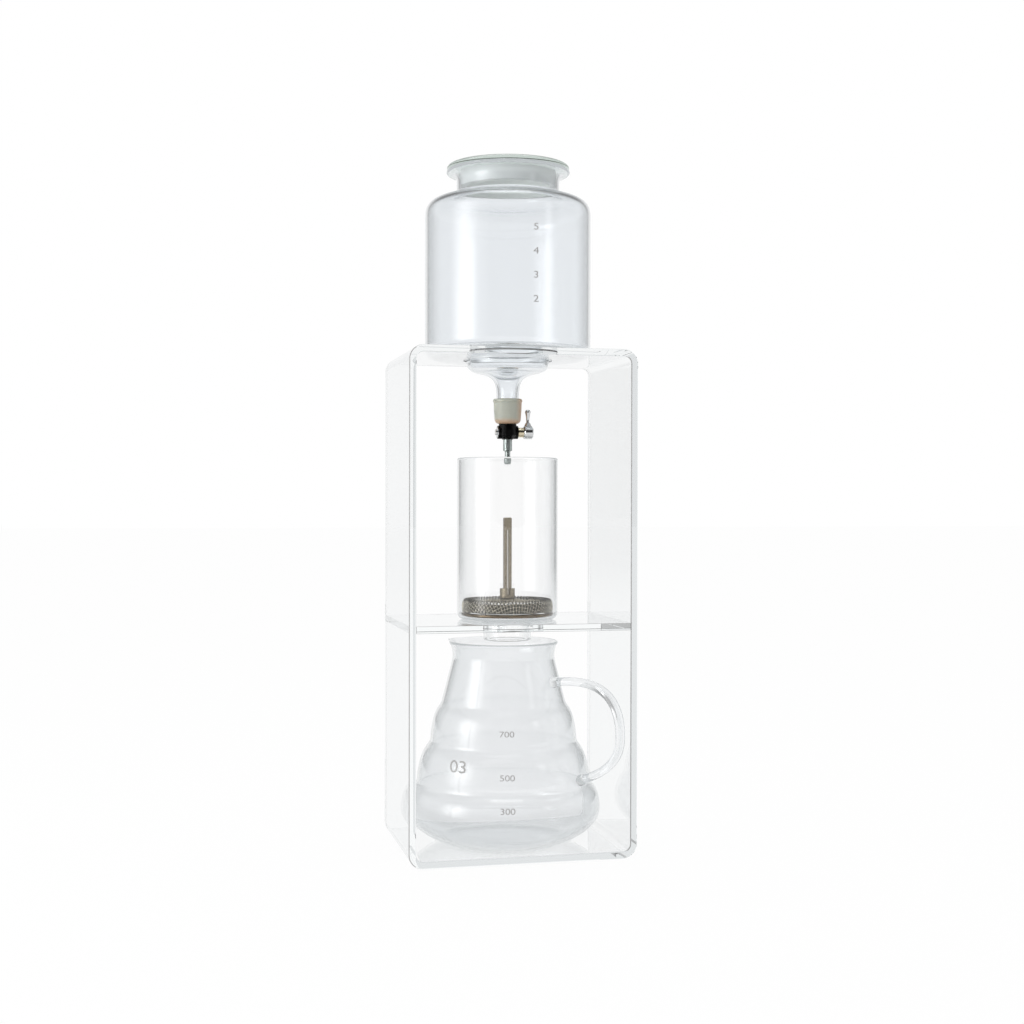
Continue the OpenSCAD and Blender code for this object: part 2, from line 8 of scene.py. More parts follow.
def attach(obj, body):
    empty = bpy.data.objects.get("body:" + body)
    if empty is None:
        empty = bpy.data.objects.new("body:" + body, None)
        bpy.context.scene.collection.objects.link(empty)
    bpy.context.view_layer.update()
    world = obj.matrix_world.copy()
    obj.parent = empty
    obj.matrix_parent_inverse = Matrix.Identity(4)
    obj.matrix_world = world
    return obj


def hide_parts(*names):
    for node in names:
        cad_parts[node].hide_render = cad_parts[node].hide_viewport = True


# Cold drip coffee tower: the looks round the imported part. Metres, +Z up, the photograph's side
# is a little to the left of the front.

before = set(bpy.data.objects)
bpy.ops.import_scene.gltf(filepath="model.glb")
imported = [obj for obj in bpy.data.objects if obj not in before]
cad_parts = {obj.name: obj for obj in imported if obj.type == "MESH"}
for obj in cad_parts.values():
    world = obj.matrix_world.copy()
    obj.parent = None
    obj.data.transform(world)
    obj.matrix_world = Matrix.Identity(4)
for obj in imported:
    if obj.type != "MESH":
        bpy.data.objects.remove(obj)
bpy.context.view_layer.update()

MM = 0.001
FRONT_TURN = math.radians(13.14)  # how far the camera looks past straight ahead, to the right
VIEW = Vector((math.sin(FRONT_TURN), math.cos(FRONT_TURN), 0))
VIEW_RIGHT = Vector((math.cos(FRONT_TURN), -math.sin(FRONT_TURN), 0))

# Sizes in millimetres, as in the solids, apart from JUG_X
STAND_HALF, STAND_DEEP, STAND_TOP = 80, 110, 352
SHEET, BEND_R = 5, 10                # the stand's acrylic sheet and the outside of its bends
SHELF_WIDE, SHELF_MIDDLE = 149.92, 160.5
BULB_HOLE_R, SPIGOT_HOLE_R = 31, 21.5
BOWL_WALL, CHAMBER_WALL, JUG_WALL = 2.2, 2, 2
JUG_R, JUG_BASE, JUG_TALL = 69, SHEET, 142.5
JUG_X = -2.7 * MM                    # in metres: the jug stands a little left of the middle
HANDLE_TURN = math.radians(42)       # from the right towards the front
SPOUT_TURN = math.radians(138)       # opposite the handle
GLASS_STEP = 0.9                     # how fine the outlines of the glass are
CLOTH_STEP = 0.25                    # how fine the section of the woven cup is

scene = bpy.context.scene
scene.view_settings.view_transform = "Standard"


# ---------------------------------------------------------------- camera
def photo_camera():
    """The camera of the photograph, as the stand's edges in it give it."""
    lens = bpy.data.cameras.new("photo_camera")
    lens.sensor_width = 36
    lens.lens = 53.4
    lens.clip_start = 0.05
    lens.clip_end = 60
    eye = bpy.data.objects.new("photo_camera", lens)
    eye.location = (-0.2436, -1.0578, 0.2485)
    pitch, roll = math.radians(90 - 0.49), math.radians(0.11)
    turn = Matrix.Rotation(-FRONT_TURN, 3, "Z") @ Matrix.Rotation(pitch, 3, "X")
    eye.rotation_euler = (turn @ Matrix.Rotation(roll, 3, "Z")).to_euler()
    scene.collection.objects.link(eye)
    scene.camera = eye


# ---------------------------------------------------------------- shader helpers
def linear(code):
    """An sRGB hex colour as the linear colour that a socket takes."""
    parts = [int(code[i:i + 2], 16) / 255 for i in (1, 3, 5)]
    return [p / 12.92 if p <= 0.04045 else ((p + 0.055) / 1.055) ** 2.4 for p in parts] + [1]


def add(tree, kind, sockets=None, **settings):
    """Adds a node, with its settings, and its sockets set to values or linked to outputs."""
    node = tree.nodes.new(kind)
    for name, value in settings.items():
        setattr(node, name, value)
    for name, value in (sockets or {}).items():
        if isinstance(value, bpy.types.NodeSocket):
            tree.links.new(value, node.inputs[name])
        else:
            node.inputs[name].default_value = value
    return node


def new_material(name):
    """A material without nodes, and its tree."""
    material = bpy.data.materials.new(name)
    material.use_nodes = True
    material.node_tree.nodes.clear()
    return material, material.node_tree


def put_out(tree, surface, volume=None):
    """Ends a material's tree."""
    out = add(tree, "ShaderNodeOutputMaterial", {"Surface": surface})
    if volume:
        tree.links.new(volume, out.inputs["Volume"])


# ---------------------------------------------------------------- materials
PAINTED_GLOW_DENSITY = 400  # per metre, so that the painted glow of caught light is full within some 10 mm
CAUGHT_GLOSSY = 2.5  # a ray that has been mirrored more often than this counts as caught
CAUGHT_LONG = 9.5    # and so does one that has passed more faces than this


def clear_solid(name, face, edge, ior, ripple, depth, tint, density, painted_glow_colour):
    """Clear glass or acrylic. It is pale face on and greyer where it turns edge on, a painted
    shade for the dark edges of glass. It ripples by depth every ripple metres, and its body takes
    a little colour out of long paths. Light that is caught between its faces ends in a painted
    glow of the colour it is given for that, not in black. For shadows it is only a pale veil."""
    material, tree = new_material(name)
    place = add(tree, "ShaderNodeTexCoord")
    wave = add(tree, "ShaderNodeTexNoise", {
        "Vector": place.outputs["Object"], "Scale": 1 / ripple, "Detail": 1.0})
    bump = add(tree, "ShaderNodeBump", {
        "Height": wave.outputs["Fac"], "Distance": depth, "Strength": 1.0})
    # painted shade: the colour turns from face to the greyer edge colour as the surface turns
    # edge on, for the dark edges of glass
    slant = add(tree, "ShaderNodeLayerWeight", {"Blend": 0.35})
    colour = add(tree, "ShaderNodeMix", {
        "Factor": slant.outputs["Facing"], 6: linear(face), 7: linear(edge)}, data_type="RGBA")
    body = add(tree, "ShaderNodeBsdfPrincipled", {
        "Base Color": colour.outputs[2], "Roughness": 0.0, "IOR": ior,
        "Transmission Weight": 1.0, "Normal": bump.outputs["Normal"]})
    through = add(tree, "ShaderNodeBsdfTransparent", {"Color": linear(face)})
    path = add(tree, "ShaderNodeLightPath")
    both = add(tree, "ShaderNodeMixShader", {
        0: path.outputs["Is Shadow Ray"], 1: body.outputs[0], 2: through.outputs[0]})
    turned_back = add(tree, "ShaderNodeMath", {
        0: path.outputs["Glossy Depth"], 1: CAUGHT_GLOSSY}, operation="GREATER_THAN")
    far_on = add(tree, "ShaderNodeMath", {
        0: path.outputs["Ray Depth"], 1: CAUGHT_LONG}, operation="GREATER_THAN")
    caught = add(tree, "ShaderNodeMath", {0: turned_back.outputs[0], 1: far_on.outputs[0]},
                 operation="MAXIMUM")
    thick = add(tree, "ShaderNodeMath", {0: caught.outputs[0], 1: PAINTED_GLOW_DENSITY},
                operation="MULTIPLY")
    fog = add(tree, "ShaderNodeVolumeAbsorption", {
        "Color": (0, 0, 0, 1), "Density": thick.outputs[0]})
    # painted glow: a caught ray shines in its glow colour instead of ending in black
    glow = add(tree, "ShaderNodeEmission", {
        "Color": linear(painted_glow_colour), "Strength": thick.outputs[0]})
    depths = add(tree, "ShaderNodeVolumeAbsorption", {"Color": linear(tint), "Density": density})
    fog = add(tree, "ShaderNodeAddShader", {0: fog.outputs[0], 1: glow.outputs[0]})
    fog = add(tree, "ShaderNodeAddShader", {0: depths.outputs[0], 1: fog.outputs[0]})
    put_out(tree, both.outputs[0], fog.outputs[0])
    return material


def ground_glass(name):
    """Glass ground on a wheel to seat the lid: a frosted grey-green band that scatters light."""
    material, tree = new_material(name)
    place = add(tree, "ShaderNodeTexCoord")
    grit = add(tree, "ShaderNodeTexNoise", {
        "Vector": place.outputs["Object"], "Scale": 1 / (0.4 * MM), "Detail": 3.0})
    tone = add(tree, "ShaderNodeMix", {
        "Factor": grit.outputs["Fac"], 6: linear("#eff2ee"), 7: linear("#fbfcfa")},
        data_type="RGBA")
    bump = add(tree, "ShaderNodeBump", {
        "Height": grit.outputs["Fac"], "Distance": 0.02 * MM, "Strength": 0.6})
    body = add(tree, "ShaderNodeBsdfPrincipled", {
        "Base Color": tone.outputs[2], "Roughness": 0.4, "IOR": 1.5,
        "Transmission Weight": 0.08, "Normal": bump.outputs["Normal"]})
    put_out(tree, body.outputs[0])
    return material


def moulded(name, low, high, rough, grain, depth, soft=0.0, shine=0.5, tan_tone=None):
    """Moulded rubber or plastic: two close tones in the grain of the mould. A tan tone, where one
    is given, is mixed in towards the bung's lower end, near 302 mm, and towards its right side."""
    material, tree = new_material(name)
    place = add(tree, "ShaderNodeTexCoord")
    grit = add(tree, "ShaderNodeTexNoise", {
        "Vector": place.outputs["Object"], "Scale": 1 / grain, "Detail": 4.0})
    tone = add(tree, "ShaderNodeMix", {
        "Factor": grit.outputs["Fac"], 6: linear(low), 7: linear(high)}, data_type="RGBA")
    if tan_tone:
        axes = add(tree, "ShaderNodeSeparateXYZ", {"Vector": place.outputs["Object"]})
        low_end = add(tree, "ShaderNodeMapRange", {
            "Value": axes.outputs["Z"], "From Min": 307 * MM, "From Max": 302.5 * MM,
            "To Min": 0.0, "To Max": 0.75}, interpolation_type="SMOOTHSTEP")
        right = add(tree, "ShaderNodeMapRange", {
            "Value": axes.outputs["X"], "From Min": 3 * MM, "From Max": 10 * MM,
            "To Min": 0.0, "To Max": 0.8}, interpolation_type="SMOOTHSTEP")
        far = add(tree, "ShaderNodeMath", {0: low_end.outputs[0], 1: right.outputs[0]},
                  operation="MAXIMUM")
        tone = add(tree, "ShaderNodeMix", {
            "Factor": far.outputs[0], 6: tone.outputs[2], 7: linear(tan_tone)}, data_type="RGBA")
    bump = add(tree, "ShaderNodeBump", {
        "Height": grit.outputs["Fac"], "Distance": depth, "Strength": 0.5})
    body = add(tree, "ShaderNodeBsdfPrincipled", {
        "Base Color": tone.outputs[2], "Roughness": rough, "IOR": 1.45,
        "Specular IOR Level": shine, "Normal": bump.outputs["Normal"]})
    if soft:
        body.inputs["Subsurface Weight"].default_value = soft
        body.inputs["Subsurface Radius"].default_value = (3 * MM, 2.4 * MM, 1.8 * MM)
        body.inputs["Subsurface Scale"].default_value = 1.0
    put_out(tree, body.outputs[0])
    return material


def metal(name, low, high, rough, line, depth):
    """Turned, pressed or plated metal: two close tones, and a gloss and a face that are slightly
    uneven in the same fine grain, which is line metres wide."""
    material, tree = new_material(name)
    place = add(tree, "ShaderNodeTexCoord")
    grain = add(tree, "ShaderNodeTexNoise", {
        "Vector": place.outputs["Object"], "Scale": 1 / line, "Detail": 2.0})
    tone = add(tree, "ShaderNodeMix", {
        "Factor": grain.outputs["Fac"], 6: linear(low), 7: linear(high)}, data_type="RGBA")
    gloss = add(tree, "ShaderNodeMapRange", {
        "Value": grain.outputs["Fac"], "To Min": rough * 0.8, "To Max": rough * 1.3})
    bump = add(tree, "ShaderNodeBump", {
        "Height": grain.outputs["Fac"], "Distance": depth, "Strength": 0.5})
    body = add(tree, "ShaderNodeBsdfPrincipled", {
        "Base Color": tone.outputs[2], "Metallic": 1.0, "Roughness": gloss.outputs["Result"],
        "Normal": bump.outputs["Normal"]})
    put_out(tree, body.outputs[0])
    return material


def dress(material, *names):
    """Gives CAD nodes their material."""
    for name in names:
        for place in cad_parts[name].material_slots:
            place.material = material


# Cast acrylic sheet, polished: all but white, with thin grey outlines, partly a painted shade
# where it turns edge on
acrylic = clear_solid("cast_acrylic_sheet", "#fdfefe", "#e8eaeb", 1.49,
                      60 * MM, 0.02 * MM, "#dfe9ec", 1.0, "#e4e6e7")
# Acrylic edges, scraped with a blade: a fine satin line, its grey a painted shade for the sheet's
# dark outlines
scraped = moulded("scraped_edge_painted_shade", "#a19f9e", "#b5b5b5", 0.5, 3 * MM, 0.01 * MM)
# Blown borosilicate glass of the bowl: cool pale grey where two walls lie behind each other,
# with slow ripples in the long highlights
bowl_glass = clear_solid("blown_glass_bowl", "#f4f6f8", "#e4e7e9", 1.47,
                         45 * MM, 0.08 * MM, "#e4ebec", 1.0, "#c2c6c8")
# Blown glass of the jug: the same ripples, and a painted shade that makes it darker where its
# steps turn edge on
jug_glass = clear_solid("blown_glass_jug", "#f6f7f8", "#dfe2e3", 1.47,
                        45 * MM, 0.08 * MM, "#e4ebec", 1.0, "#c8cccd")
# Drawn tube glass of the chamber: clearer and straighter than the blown pieces
chamber_glass = clear_solid("drawn_glass_chamber", "#fefefe", "#dde0e2", 1.47,
                            60 * MM, 0.03 * MM, "#e4ebec", 1.0, "#c8cccd")
# Plate glass of the lid: a faint green in its edge
lid_glass = clear_solid("plate_glass_lid", "#f1f5f3", "#dde5e1", 1.5,
                        60 * MM, 0.02 * MM, "#d5e2dc", 1.5, "#cfd8d3")
# Ground glass of the lid's joint: a matt grey-green band with a soft highlight
frosted = ground_glass("ground_glass_joint")
# Enamel fired onto glass: matt mid-grey figures
ink = moulded("fired_grey_enamel", "#a3a2a1", "#b2b1b0", 0.5, 0.6 * MM, 0.004 * MM)
# Cream silicone of the bung: waxy, grey-cream, tan towards its foot and its right side
silicone = moulded("cream_silicone_rubber", "#acaea2", "#b8b9ae", 0.42, 1.5 * MM, 0.01 * MM,
                   0.35, tan_tone="#c49c7a")
# Black plastic of the valve: nearly without a highlight
black = moulded("black_acetal", "#020202", "#050505", 0.35, 0.8 * MM, 0.008 * MM, shine=0.12)
# Seal rubber: matt black
rubber = moulded("nitrile_rubber", "#0c0c0c", "#141414", 0.55, 0.5 * MM, 0.01 * MM)
# Polished plating of the lever and the end screw: mirrors the dark room and the white walls
bright = metal("polished_nickel_plate", "#c9cacb", "#dadbdb", 0.1, 3 * MM, 0.003 * MM)
# Blasted plating of the nozzle: a soft cool grey
satin = metal("blasted_nickel_plate", "#8d9492", "#a9b0ae", 0.3, 2 * MM, 0.004 * MM)
# Turned brass of the spindle's collar: a warm, light gold
warm = metal("turned_brass_plate", "#c9bda2", "#ddd2b8", 0.14, 3 * MM, 0.003 * MM)
# Rolled steel rim of the filter, tanned by coffee: a brown shine under the mesh
rolled = metal("rolled_stainless_rim", "#5d4c36", "#75634a", 0.14, 4 * MM, 0.01 * MM)
# Wires of the mesh: light and shiny, so that each one catches a point of light
woven = metal("woven_stainless_wire", "#bfb8a6", "#dcd5c4", 0.14, 2 * MM, 0.005 * MM)
# Fine gauze behind the wires: dark, so that they stand out against it
gauze = metal("fine_stainless_gauze", "#35332a", "#474438", 0.42, 0.5 * MM, 0.03 * MM)
# Pressed gauze under the mesh's top: painted pale, a painted highlight so that the dish looks
# bright from above
pressed = metal("pressed_gauze_painted_bright", "#eceae4", "#f6f5f0", 0.13, 0.5 * MM, 0.02 * MM)
# Brushed strip of the stem, its clip and its washer: grey-brown, with a long soft shine
folded = metal("brushed_stainless_strip", "#7d7464", "#938a79", 0.22, 1.2 * MM, 0.006 * MM)

dress(lid_glass, "lid_disc")
dress(frosted, "lid_ground_collar")
dress(black, "valve_body")
dress(satin, "drip_nozzle")
dress(bright, "end_washer", "end_screw", "lever_hub", "valve_lever")
dress(warm, "valve_spindle")
dress(rubber, "spindle_seals")
dress(rolled, "filter_rim")
dress(folded, "filter_washer", "filter_clip", "filter_stem")


# ---------------------------------------------------------------- shape helpers, in millimetres
def bow(a, b, c, steps=14):
    """A curve from a to c that is drawn towards b."""
    points = []
    for i in range(steps + 1):
        t = i / steps
        points.append(tuple((1 - t) ** 2 * a[k] + 2 * t * (1 - t) * b[k] + t * t * c[k]
                            for k in (0, 1)))
    return points


def soften(path, step, passes):
    """The path in even steps, with its creases rounded. Its two ends stay."""
    lengths = [0.0]
    for a, b in zip(path, path[1:]):
        lengths.append(lengths[-1] + math.dist(a, b))
    count = max(4, round(lengths[-1] / step))
    even, k = [], 0
    for i in range(count + 1):
        goal = lengths[-1] * i / count
        while k < len(path) - 2 and lengths[k + 1] < goal:
            k += 1
        t = (goal - lengths[k]) / max(lengths[k + 1] - lengths[k], 1e-9)
        even.append(tuple(path[k][m] * (1 - t) + path[k + 1][m] * t for m in (0, 1)))
    for _ in range(passes):
        even = [even[0]] + [
            tuple((a[m] + 2 * b[m] + c[m]) / 4 for m in (0, 1))
            for a, b, c in zip(even, even[1:], even[2:])] + [even[-1]]
    return even


def skin(path, t):
    """The path moved to its left by t."""
    moved = []
    for i, here in enumerate(path):
        a, b = path[max(i - 1, 0)], path[min(i + 1, len(path) - 1)]
        long = math.dist(a, b)
        moved.append((here[0] - t * (b[1] - a[1]) / long, here[1] + t * (b[0] - a[0]) / long))
    return moved


def bead(outer, inner, away, steps=8):
    """The round end of a wall, from its outer to its inner face, on the side of away."""
    middle = [(outer[k] + inner[k]) / 2 for k in (0, 1)]
    arm = [outer[k] - middle[k] for k in (0, 1)]
    side = 1 if -arm[1] * away[0] + arm[0] * away[1] > 0 else -1
    points = []
    for i in range(1, steps):
        turn = side * math.pi * i / steps
        points.append((middle[0] + arm[0] * math.cos(turn) - arm[1] * math.sin(turn),
                       middle[1] + arm[0] * math.sin(turn) + arm[1] * math.cos(turn)))
    return points


def wall_outline(path, t, low_bead):
    """The outline of a glass wall: its outer face, its round rim and its inner face."""
    inner = skin(path, t)
    inner = [(max(x, 0.0), z) for x, z in inner]
    away = (path[-1][0] - path[-2][0], path[-1][1] - path[-2][1])
    outline = path + bead(path[-1], inner[-1], away) + inner[::-1]
    if low_bead:
        away = (path[0][0] - path[1][0], path[0][1] - path[1][1])
        outline += bead(inner[0], path[0], away)
    return outline


def turned(name, outline, steps, closed):
    """An outline turned about the Z axis, as a lathe turns it."""
    shape = bmesh.new()
    dots = [shape.verts.new((x * MM, 0, z * MM)) for x, z in outline]
    lines = [shape.edges.new(pair) for pair in zip(dots, dots[1:])]
    if closed:
        lines.append(shape.edges.new((dots[-1], dots[0])))
    bmesh.ops.spin(shape, geom=dots + lines, cent=(0, 0, 0), axis=(0, 0, 1), steps=steps,
                   angle=math.tau, use_merge=True, use_duplicate=False)
    bmesh.ops.remove_doubles(shape, verts=shape.verts, dist=0.0005 * MM)
    bmesh.ops.recalc_face_normals(shape, faces=shape.faces)
    return finish_piece(name, shape)


def finish_piece(name, shape, sharp=50):
    """The mesh as an object at the origin, smooth apart from edges sharper than sharp degrees."""
    mesh = bpy.data.meshes.new(name)
    shape.to_mesh(mesh)
    shape.free()
    mesh.shade_smooth()
    mesh.set_sharp_from_angle(angle=math.radians(sharp))
    piece = bpy.data.objects.new(name, mesh)
    scene.collection.objects.link(piece)
    return piece


def settle(piece, sharp=50):
    """Takes the piece's modifiers into its mesh, and drops their helper objects."""
    bpy.context.view_layer.update()
    made = bpy.data.meshes.new_from_object(
        piece.evaluated_get(bpy.context.evaluated_depsgraph_get()))
    helpers = [m.object for m in piece.modifiers if m.type == "BOOLEAN"]
    piece.modifiers.clear()
    for helper in helpers:
        bpy.data.objects.remove(helper)
    made.name = piece.name
    piece.data = made
    made.shade_smooth()
    made.set_sharp_from_angle(angle=math.radians(sharp))


def place_piece(piece, material, body, slot, *nodes):
    """Gives a piece its material and body, and hides the CAD nodes that it stands for. Its slot
    is not used.
    """
    piece.data.materials.clear()
    piece.data.materials.append(material)
    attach(piece, body)
    if nodes:
        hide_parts(*nodes)


# ---------------------------------------------------------------- glass
def bowl_outer():
    """The bowl's outer face from the outlet tube to the lip. Its base arches a little off the
    plate, so that it sits on a ring."""
    return soften(
        [(7.9, 313.1), (7.9, 320)]
        + bow((7.9, 320), (7.9, 329.5), (10.4, 333.2))[:-1]
        + bow((10.4, 333.2), (12.5, 336.2), (21, 337.9))[:-1]
        + bow((21, 337.9), (29.5, 339.2), (29.5, 345))
        + bow((29.5, 350.73), (29.5, 352.3), (30.77, 352.3))
        + [(41, 352.5), (50, 352.15)]
        + bow((52.5, 352.05), (59, 352.05), (59, 358.5))
        + bow((59, 450.02), (59, 460.94), (46.01, 461.98))[:-1]
        + bow((46.01, 461.98), (36.6, 462.76), (36.6, 467.96))
        + bow((36.6, 473.94), (36.6, 479.8), (42.9, 479.8)), GLASS_STEP, 4)


def bung_line():
    """The bung's section: a round foot, a tapering side, a low lip, and the bores for the outlet
    tube above and the valve's barb below."""
    return (bow((5.4, 302.02), (9.35, 302.02), (9.45, 306.2))
            + bow((9.45, 306.2), (9.95, 312), (10.0, 317.2))
            + bow((10.0, 317.4), (10.48, 317.5), (10.48, 318.5))
            + bow((10.48, 318.5), (10.48, 319.7), (9.2, 319.95))
            + [(7.93, 319.95), (7.93, 312), (3.43, 312), (3.43, 302.02)])


def chamber_outer():
    """The chamber's outer face, from the spigot's end to the rim."""
    return soften(
        [(17, 149), (17, 160.4)] + bow((17, 160.4), (17, 163.1), (19.6, 163.1))
        + [(25, 163.25)] + bow((30.9, 163.06), (35.9, 163.06), (35.9, 168))
        + [(35.9, 276.7)], GLASS_STEP, 2)


def on_jug(share, high):
    """A radius and a height, given as shares of the jug's largest radius and of its height."""
    return (JUG_R * share, JUG_BASE + JUG_TALL * high)


def jug_outer():
    """The jug's outer face from the middle of its foot to its rim: four blown bands that step
    in, a throat and a flared rim. The foot arches, so that it stands on a ring."""
    at = on_jug
    return soften(
        [(0, 6.0), (20, 5.7), (36, 5.12)]
        + bow((42.02, 5.03), at(1, 0.073), at(1, 0.168))
        + bow(at(1, 0.168), at(1, 0.26), at(0.896, 0.295))[1:]
        + bow(at(0.896, 0.295), at(0.883, 0.442), at(0.758, 0.498))[1:]
        + bow(at(0.758, 0.498), at(0.744, 0.646), at(0.645, 0.688))[1:]
        + bow(at(0.529, 0.909), at(0.519, 0.962), (38.64, 145.94)),
        GLASS_STEP, 5)


def radius_at(path, z):
    """The outer radius of a turned path at a height."""
    for a, b in zip(path, path[1:]):
        if a[1] <= z <= b[1] and b[1] > a[1]:
            return a[0] + (b[0] - a[0]) * (z - a[1]) / (b[1] - a[1])
    raise ValueError(f"the path does not pass {z}")


def shape_jug():
    """The jug with its drawn spout, and the handle melted onto it."""
    spout_low, spout_tall, spout_spread, spout_reach = 131, 16.5, math.radians(13), 7.2
    jug = turned("blown_jug", wall_outline(jug_outer(), JUG_WALL, False), 160, False)
    spout_way = Vector((math.cos(SPOUT_TURN), math.sin(SPOUT_TURN), 0))
    for v in jug.data.vertices:
        flat = Vector((v.co.x, v.co.y, 0))
        rise = (v.co.z / MM - spout_low) / spout_tall
        if rise > 0 and flat.length > 30 * MM:
            off = flat.angle(spout_way)
            reach = math.exp(-(off / spout_spread) ** 2) * min(rise, 1.1) ** 2.2
            v.co += spout_reach * MM * reach * spout_way
            v.co.z -= 1.6 * MM * reach * max(0.0, rise - 0.7)
        v.co.x += JUG_X
    handle = shape_handle()
    join = jug.modifiers.new("melted_on", "BOOLEAN")
    join.operation, join.solver, join.object = "UNION", "EXACT", handle
    settle(jug)
    return jug


def shape_handle():
    """A drawn glass rod of oval section. It swells at both ends, where it was pressed on."""
    thick, wide, swell_by, swell_over, sunk = 3, 4.75, 0.34, 3.2, 1.2
    path = jug_outer()

    def at(share, high):
        x, z = on_jug(share, high)
        return Vector((x * MM, 0, z * MM))

    runs = [(at(0.52, 0.8), at(0.99, 0.846), at(1.34, 0.8), at(1.33, 0.555)),
            (at(1.33, 0.555), at(1.33, 0.43), at(1.1, 0.365), at(0.8, 0.322))]
    line = []
    for a, b, c, d in runs:
        for i in range(41):
            t = i / 40
            line.append((1 - t) ** 3 * a + 3 * (1 - t) ** 2 * t * b + 3 * (1 - t) * t * t * c
                        + t ** 3 * d)
    line = [q for i, q in enumerate(line) if i == 0 or (q - line[i - 1]).length > 1e-6]
    shape = bmesh.new()
    rings = []
    for i, here in enumerate(line):
        ahead = (line[min(i + 1, len(line) - 1)] - line[max(i - 1, 0)]).normalized()
        side = Vector((-ahead.z, 0, ahead.x))
        wall = radius_at(path, here.z / MM) * MM
        beyond = (here.x - wall) / MM
        swell = 1 + swell_by * math.exp(-(max(beyond, 0) / swell_over) ** 2)
        ring = bmesh.ops.create_circle(shape, segments=32, radius=1)["verts"]
        grid = Matrix((side * thick * MM * swell, Vector((0, wide * MM * swell, 0)), ahead))
        bmesh.ops.transform(shape, verts=ring,
                            matrix=Matrix.Translation(here) @ grid.transposed().to_4x4())
        rings.append(ring)
    keep = [ring for ring, here in zip(rings, line)
            if here.x / MM > radius_at(path, here.z / MM) - sunk]
    for ring in rings:
        if ring not in keep:
            bmesh.ops.delete(shape, geom=ring, context="VERTS")
    for a, b in zip(keep, keep[1:]):
        loops = [e for ring in (a, b) for e in {e for v in ring for e in v.link_edges
                                                if all(w in ring for w in e.verts)}]
        bmesh.ops.bridge_loops(shape, edges=loops)
    for ring in (keep[0], keep[-1]):
        bmesh.ops.contextual_create(shape, geom=ring)
    bmesh.ops.recalc_face_normals(shape, faces=shape.faces)
    bmesh.ops.rotate(shape, verts=shape.verts, cent=(0, 0, 0),
                     matrix=Matrix.Rotation(-HANDLE_TURN, 3, "Z"))
    bmesh.ops.translate(shape, verts=shape.verts, vec=(JUG_X, 0, 0))
    return finish_piece("handle_rod", shape)


# ---------------------------------------------------------------- clear stand
def round_loop(shape, half, low, high, r):
    """Adds a rectangle with round corners in the plane of the stand's front."""
    corners = [shape.verts.new((x * MM, -STAND_DEEP / 2 * MM, z * MM))
               for x, z in ((-half, low), (half, low), (half, high), (-half, high))]
    shape.faces.new(corners)
    bmesh.ops.bevel(shape, geom=corners, offset=r * MM, offset_type="OFFSET", segments=14,
                    profile=0.5, affect="VERTICES", material=-1)


def shape_stand():
    """One clear sheet bent into an upright loop, with a hole in its top for the bowl's bulb. Its
    sawn edges are scraped to a fine bevel."""
    shape = bmesh.new()
    round_loop(shape, STAND_HALF, 0, STAND_TOP, BEND_R)
    round_loop(shape, STAND_HALF - SHEET, SHEET, STAND_TOP - SHEET, BEND_R - SHEET)
    bmesh.ops.delete(shape, geom=list(shape.faces), context="FACES_ONLY")
    bmesh.ops.bridge_loops(shape, edges=list(shape.edges))
    front = list(shape.faces)
    pulled = bmesh.ops.extrude_face_region(shape, geom=front)["geom"]
    bmesh.ops.translate(shape, verts=[v for v in pulled if isinstance(v, bmesh.types.BMVert)],
                        vec=(0, STAND_DEEP * MM, 0))
    bmesh.ops.recalc_face_normals(shape, faces=shape.faces)
    stand = finish_piece("bent_stand", shape)
    drill(stand, BULB_HOLE_R, 345, 354)
    scrape_edges(stand, 0.6)
    return stand


def shape_shelf():
    """The shelf, let in between the walls, with its round hole and scraped edges."""
    shape = bmesh.new()
    bmesh.ops.create_cube(shape, size=1)
    bmesh.ops.scale(shape, verts=shape.verts,
                    vec=(SHELF_WIDE * MM, STAND_DEEP * MM, SHEET * MM))
    bmesh.ops.translate(shape, verts=shape.verts, vec=(0, 0, SHELF_MIDDLE * MM))
    shelf = finish_piece("glued_shelf", shape)
    drill(shelf, SPIGOT_HOLE_R, 156, 165)
    scrape_edges(shelf, 0.2)
    return shelf


def drill(piece, r, low, high):
    """Cuts a round hole through a sheet that lies between the heights low and high."""
    shape = bmesh.new()
    bmesh.ops.create_cone(shape, cap_ends=True, segments=128, radius1=r * MM, radius2=r * MM,
                          depth=(high - low) * MM,
                          matrix=Matrix.Translation((0, 0, (low + high) / 2 * MM)))
    cutter = finish_piece("cutter", shape)
    cut = piece.modifiers.new("hole", "BOOLEAN")
    cut.operation, cut.solver, cut.object = "DIFFERENCE", "EXACT", cutter


def scrape_edges(piece, width):
    """A fine bevel along every sharp edge, then all modifiers go into the mesh. The low limit
    for sharp edges keeps the shading of the big flat faces flat up to the bevel."""
    bevel = piece.modifiers.new("scraped", "BEVEL")
    bevel.width, bevel.segments, bevel.limit_method = width * MM, 2, "ANGLE"
    bevel.angle_limit = math.radians(50)
    settle(piece, 15)


def mark_scraped(piece, left_only):
    """Gives the bevels along the sawn edges the scraped finish, a satin whose grey is painted
    shade for the sheet's dark outlines. They alone lean to the front or the back, or stand round
    the rim of a hole. Those that don't look left may stay polished."""
    hole_zone = 34 * MM  # no outer edge comes this near to the axis

    def leans(share):
        return 0.2 < share < 0.98

    piece.data.materials.append(scraped)
    for face in piece.data.polygons:
        flat = math.hypot(face.normal.x, face.normal.y)
        if math.hypot(face.center.x, face.center.y) < hole_zone:
            face.material_index = int(leans(flat))
        else:
            # painted shade: on the stand only the bevels that look left get the grey
            shown = face.normal.x < -0.2 or not left_only
            face.material_index = int(shown and leans(abs(face.normal.y)))


